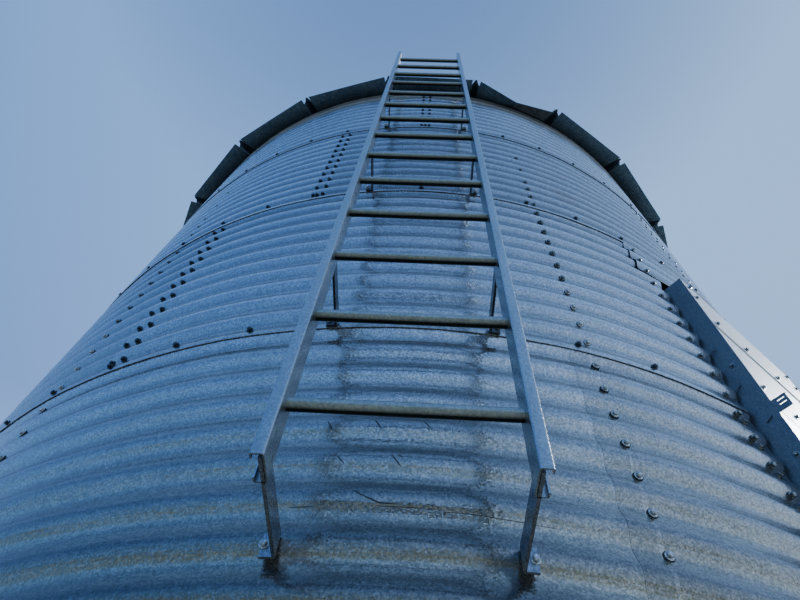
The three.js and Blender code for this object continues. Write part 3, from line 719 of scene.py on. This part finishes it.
# Doorway's edges, two to a valley in the lower rings
edge_z = valleys(DOOR_LOW, 3 * RING_HEIGHT - 0.02)
single, double = edge_z[edge_z > 2 * RING_HEIGHT], edge_z[edge_z <= 2 * RING_HEIGHT]
double = np.concatenate([double - EDGE_HALF_GAP, double + EDGE_HALF_GAP])
edges = [crossed(np.radians([-at, at]), heights) for at, heights in ((EDGE_SINGLE, single), (EDGE_DOUBLE, double))]
edge_azimuth, edge_height = (np.concatenate(pair) for pair in zip(*edges))
edge_proud = BOLT_PROUD + np.where(edge_height > FILLER_LOW - 0.03, EDGE_LIFTED, 0)
make("door_edge_bolts", [bolts_on_wave(edge_azimuth, edge_height, edge_proud)], zinc_fittings)


# Roof

def roof_height(radius):
    """Height of the panels' underside at a corner radius of the many-sided cone."""
    middle = radius * math.cos(math.pi / (2 * PANELS))
    return WALL_TOP + ROOF_GAP + (ROOF_SEAT_RADIUS - middle) * math.tan(ROOF_SLOPE)


def bent_down(line, share):
    """A line up the slope with its eave end moved inwards and down by that share of the dent."""
    level = np.array([line[0, 0], line[0, 1], 0])
    line[0] -= share * (level / np.linalg.norm(level) * DENT_IN + UP * DENT_DOWN)
    return line


def unit(lines):
    """Vectors shortened or stretched to length 1."""
    return lines / np.linalg.norm(lines, axis=-1, keepdims=True)


def roof_panel(index):
    """One panel as a grid of stations across by stations up the slope: half a rib, two flats that meet in a fold,
    and the next joint. The rib's end is notched back from the eave."""
    half = math.pi / PANELS
    azimuth = FIRST_JOINT + index * 2 * half
    bend = 1.0 if index == DENTED_PANEL else 0.0
    inner = np.linspace(DENT_BEND_RADIUS, PEAK_RADIUS, 8)
    radii, folds = np.append(EAVE_RADIUS, inner), np.append(EAVE_FOLD_RADIUS, inner)
    joint = on_wall(radii, np.full(9, azimuth), roof_height(radii))
    before = on_wall(folds, np.full(9, azimuth - half), roof_height(folds))
    fold = on_wall(folds, np.full(9, azimuth + half), roof_height(folds))
    after = on_wall(radii, np.full(9, azimuth + 2 * half), roof_height(radii))
    forward, back, closing = unit(fold - joint), unit(before - joint), unit(fold - after)
    slope = unit(joint[1] - joint[0])
    rows = []
    for offset, rise, inset in RIB:
        line = joint + (forward * offset if offset > 0 else back * -offset) + UP * rise
        line[0] += slope * inset
        rows.append(line)
    rows.append(bent_down((joint + forward * RIB_HALF + fold) / 2, 0.5 * bend))
    rows.append(bent_down(fold, bend))
    rows.append(bent_down(after + closing * (RIB_HALF + PANEL_GAP), DENT_END_SHARE * bend))
    return plate(np.array(rows) + UP * PANEL_RISE, GAUGE)


for pair in range(PANELS // 2):
    make(f"roof_sheets_{pair + 1:02d}", [roof_panel(2 * pair), roof_panel(2 * pair + 1)], roof_sheet,
         [f"roof_panels_{pair + 1:02d}"], crease=20, underside=roof_underside)


# Ladder

def drawn_up(path, heights):
    """A bent strip: the path, in across and out, carried up through the heights."""
    path, heights = np.asarray(path, float), np.asarray(heights, float)
    flat = path[:, :1] * LADDER_ACROSS + path[:, 1:2] * LADDER_OUT
    return flat[:, None, :] + heights[None, :, None] * UP


def mirrored(path, side):
    """The path for one side of the ladder: as it is on the right, turned over and run backwards on the left."""
    path = np.asarray(path, float)
    return path if side > 0 else (path * [-1, 1])[::-1]


def rail(side):
    """A lipped channel, open away from the rungs, with two short slits near the foot of its web."""
    back, front = LADDER_RADIUS - RAIL_HALF_DEPTH, LADDER_RADIUS + RAIL_HALF_DEPTH
    outer = RAIL_WEB + RAIL_FLANGE
    path = rounded([[outer, back + RAIL_LIP], [outer, back], [RAIL_WEB, back], [RAIL_WEB, front],
                    [outer, front], [outer, front - RAIL_LIP]], RAIL_BEND)
    stations = np.array([[RAIL_WEB, n + edge * SLIT_HALF] for n, _, _ in SLITS for edge in (-1, 1)])
    split = int(np.argmax((path[:-1, 0] == path[1:, 0]) & (path[1:, 1] - path[:-1, 1] > 0.03))) + 1
    path = np.concatenate([path[:split], stations, path[split:]])
    heights = np.unique([RAIL_LOW, RAIL_HIGH] + [z for slit in SLITS for z in slit[1:]]
                        + list(np.linspace(1.7, 5.6, 8)))
    bent = mirrored(path, side)
    centre = (bent[1:] + bent[:-1]) / 2
    middle = (heights[1:] + heights[:-1]) / 2
    keep = np.ones((len(centre), len(middle)), dtype=bool)
    for n, low, high in SLITS:
        gap = (np.abs(centre[:, 1] - n) < SLIT_HALF / 3) & (np.abs(np.abs(centre[:, 0]) - RAIL_WEB) < 1e-4)
        keep &= ~(gap[:, None] & ((middle > low) & (middle < high))[None, :])
    return plate(drawn_up(bent, heights), RAIL_GAUGE, keep)


def rung(z):
    """A round tube across the ladder with its ends swaged over inside the channels."""
    reach, swaged = RAIL_WEB + RAIL_BEND, RUNG_RADIUS + SWAGE
    profile = [(swaged, -reach - SWAGE_LENGTH), (swaged, -reach), (RUNG_RADIUS, -reach),
               (RUNG_RADIUS, reach), (swaged, reach), (swaged, reach + SWAGE_LENGTH)]
    place = LADDER_OUT * LADDER_RADIUS + UP * z
    return scattered(lathe(profile, 20), place[None], np.stack([UP, LADDER_OUT, LADDER_ACROSS])[None])


rungs = [rung(FIRST_RUNG + i * RUNG_STEP) for i in range(RUNG_COUNT)]
make("ladder_rails", [rail(-1), rail(1)], ladder_steel, ["ladder"])
make("ladder_rungs", rungs, rung_steel)


def bracket(side, low):
    """A strap from inside the channel to the wall, its foot bent outwards along the wall's curve."""
    inside = RAIL_WEB + WEB_TO_STRAP
    feet = [[foot, math.sqrt(CONTACT ** 2 - foot ** 2)] for foot in (inside + FOOT, inside + HEEL, inside)]
    path = rounded(feet + [[inside, BRACKET_REACH]], BRACKET_BEND)
    return plate(drawn_up(mirrored(path, side), [low, low + BRACKET_HEIGHT]), STRAP)


def foot_bolt(side, low):
    """The bolt head on a bracket's foot, over a bolt line of the wall."""
    return bolts_on_wall([LADDER_AZIMUTH + side * BOLT_PITCH], [low + FOOT_BOLT_RISE], [CONTACT + STRAP])


# All brackets but the lowest have the darker strap finish, painted shade
for i, low in enumerate(BRACKET_LOWS):
    for label, side in (("left", -1), ("right", 1)):
        make(f"bracket_strap_{i + 1}_{label}", [bracket(side, low)], shaded_strap_steel if i else strap_steel,
             [f"ladder_bracket_{i + 1}_{label}"])
foot_bolts = [foot_bolt(side, low) for low in BRACKET_LOWS for side in (-1, 1)]
# The foot bolts have the lighter bolt finish, painted light
make("bracket_foot_bolts", foot_bolts, bright_bolts)


# Door

def eased(value, low, high):
    """A smooth step: 0 below low, 1 above high, 3t^2 - 2t^3 between."""
    t = np.clip((value - low) / (high - low), 0, 1)
    return t * t * (3 - 2 * t)


def pressed(x, z, left, right, low, high, edge):
    """How far a point lies in a pressed panel: 1 inside its rectangle, easing to 0 over its edge."""
    sideways = eased(x, left, left + edge) * (1 - eased(x, right - edge, right))
    return sideways * eased(z, low, low + edge) * (1 - eased(z, high - edge, high))


def door_leaf():
    """A pan: a flat face with its four edges folded back, and three panels pressed 7 mm in."""
    half, middle, tall = LEAF_HALF, (LEAF_LOW + LEAF_HIGH) / 2, (LEAF_HIGH - LEAF_LOW) / 2
    u = np.concatenate([[-half - LEAF_DEPTH], np.linspace(-half, half, 49), [half + LEAF_DEPTH]])
    v = np.concatenate([[-tall - LEAF_DEPTH], np.linspace(-tall, tall, 105), [tall + LEAF_DEPTH]])
    u, v = np.meshgrid(u, v, indexing="ij")
    x, z = np.clip(u, -half, half), np.clip(v, -tall, tall) + middle
    fold = np.maximum(np.abs(u) - half, np.abs(v) - tall).clip(0)
    press = sum(pressed(x, z, -LEAF_PANEL_HALF, LEAF_PANEL_HALF, low, low + LEAF_PANEL_HEIGHT,
                        LEAF_PRESS_EDGE)
                for low in LEAF_PANEL_LOWS)
    out = LEAF_FACE - fold - LEAF_PRESS * press
    centre_u, centre_v = (u[1:, 1:] + u[:-1, 1:]) / 2, (v[1:, 1:] + v[1:, :-1]) / 2
    corner = (np.abs(centre_u) > half) & (np.abs(centre_v) > tall)
    return plate(np.stack([x, -out, z], axis=-1), 0.002, ~corner)


def strip(corners, thickness):
    """A flat plate from four corners, in turn as seen from its outer face."""
    a, b, c, d = np.array(corners, float)
    return plate(np.array([[a, d], [b, c]]), thickness)


def jamb_cover():
    """A narrower sheet over the outer part of the near jamb's web, which leaves the fold line, and two short
    folded lugs across it, and a third lower down."""
    cover = strip([[COVER_X, -2.117, 2.53], [COVER_X, -2.169, 2.58], [COVER_X, -2.169, 0.562],
                   [COVER_X, -2.117, 0.562]], JAMB_COVER)
    lugs = []
    proud = COVER_X - 0.003
    for n, z, length in ((2.098, 2.545, 0.03), (2.098, 2.345, 0.03), (2.128, 2.185, 0.022)):
        lugs.append(strip([[proud, -n, z + 0.005], [proud, -n - length, z + 0.017],
                           [proud, -n - length, z + 0.012], [proud, -n, z]], 0.003))
    return [cover] + lugs


make("door_leaf_pan", [door_leaf()], door_sheet, ["door_leaf"], body="door")
make("door_jamb_cover", jamb_cover(), jamb_steel)


def flat_bolts(places, facing):
    """Bolt heads on a flat face whose outward direction is facing, an axis direction."""
    places = np.array(places, float)
    out = np.broadcast_to(np.array(facing, float), (len(places), 3))
    return scattered(hex_bolt(), places, spun(np.cross(UP, facing), UP, out))


header = [[x, -DOOR_PLANE, 2.738] for x in (-0.31, -0.135, 0.065, 0.25)]
header += [[side * 0.335, -DOOR_PLANE, z] for side in (-1, 1) for z in (2.9, 2.98)]
transom = [[x, -TRANSOM_FACE, 2.36] for x in (-0.32, -0.14, 0.04, 0.22)]
near_web = [[COVER_X - JAMB_COVER, -n, z] for n, z in ((2.14, 2.45), (2.142, 2.05))]
make("door_frame_bolts", [flat_bolts(header, (0, -1, 0)), flat_bolts(transom, (0, -1, 0)),
                          flat_bolts(near_web, (-1, 0, 0))], zinc_fittings)


# CAD nodes that stay get their real finish
finishes = {"base_angle": roof_sheet, "peak_collar": roof_sheet, "fill_lid": roof_sheet,
            "hinge": zinc_fittings, "door_handle": zinc_fittings, "door_jamb": jamb_steel, "door": door_sheet}
for name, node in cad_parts.items():
    for start, material in finishes.items():
        if name.startswith(start):
            for place in node.material_slots:
                place.material = material
            break


# Stage

def lay_floor():
    """A plain pale floor, which polished faces don't mirror."""
    angle = math.tau * np.arange(64) / 64
    rim = np.stack([40 * np.cos(angle), 40 * np.sin(angle), 0 * angle - 0.002], axis=-1)
    mesh = bpy.data.meshes.new("studio_floor")
    mesh.from_pydata(rim.tolist(), [], [list(range(64))])
    material, tree = new_material("matt_floor_paint")
    matt = add(tree, "ShaderNodeBsdfPrincipled", {"Base Color": linear("#C4C8C8"), "Roughness": 0.9})
    add(tree, "ShaderNodeOutputMaterial", {"Surface": matt.outputs["BSDF"]})
    mesh.materials.append(material)
    floor = link(bpy.data.objects.new("studio_floor", mesh))
    floor.visible_glossy = False


def key_light():
    """One wide lamp from the right."""
    lamp = bpy.data.lights.new("key_light", "SUN")
    lamp.energy = 8.0
    lamp.angle = math.radians(15)
    lamp.color = (0.94, 0.97, 1.0)
    azimuth, height = math.radians(80), math.radians(34)
    towards = Vector((math.sin(azimuth) * math.cos(height), -math.cos(azimuth) * math.cos(height),
                      math.sin(height)))
    key = link(bpy.data.objects.new("key_light", lamp))
    key.matrix_world = towards.to_track_quat("Z", "Y").to_matrix().to_4x4()


def light_dome():
    """A soft dome of light, bluer overhead, and brighter on the right than on the left."""
    world = bpy.data.worlds.new("light_dome")
    bpy.context.scene.world = world
    world.use_nodes = True
    tree = world.node_tree
    tree.nodes.clear()
    way = add(tree, "ShaderNodeTexCoord").outputs["Generated"]
    level = ramp(tree, add(tree, "ShaderNodeSeparateXYZ", {"Vector": way}).outputs["Z"], -1.0, 1.0)
    side = add(tree, "ShaderNodeVectorMath", {0: way, 1: (0.97, -0.05, 0)}, operation="DOT_PRODUCT")
    bright = ramp(tree, side.outputs["Value"], -0.8, 1.15)
    domes = []
    for colours in (DOME_DARK_SIDE, DOME_BRIGHT_SIDE):
        shades = add(tree, "ShaderNodeValToRGB", {"Fac": level})
        stripes = shades.color_ramp.elements
        for stop, colour in zip(DOME_STOPS[1:-1], colours[1:-1]):
            stripes.new(stop).color = linear(colour)
        stripes[0].color, stripes[-1].color = linear(colours[0]), linear(colours[-1])
        domes.append(shades.outputs["Color"])
    glow = add(tree, "ShaderNodeBackground", {"Color": blended(tree, bright, *domes), "Strength": 1.8})
    add(tree, "ShaderNodeOutputWorld", {"Surface": glow.outputs["Background"]})


lay_floor()
key_light()
light_dome()

# Camera, rolled about its own line of sight
flat = np.array([math.sin(HEADING), math.cos(HEADING), 0])
ahead = flat * math.cos(PITCH) + UP * math.sin(PITCH)
level = np.array([math.cos(HEADING), -math.sin(HEADING), 0])
upward = UP * math.cos(PITCH) - flat * math.sin(PITCH)
right = level * math.cos(ROLL) + upward * math.sin(ROLL)
top = upward * math.cos(ROLL) - level * math.sin(ROLL)
lens = bpy.data.cameras.new("camera")
lens.sensor_width = SENSOR_WIDTH
lens.lens = SENSOR_WIDTH * FOCAL_PIXELS / PICTURE_PIXELS
camera = link(bpy.data.objects.new("camera", lens))
turn = np.eye(4)
turn[:3] = np.stack([right, top, -ahead, CAMERA_PLACE], axis=1)
camera.matrix_world = Matrix(turn.tolist())
bpy.context.scene.camera = camera
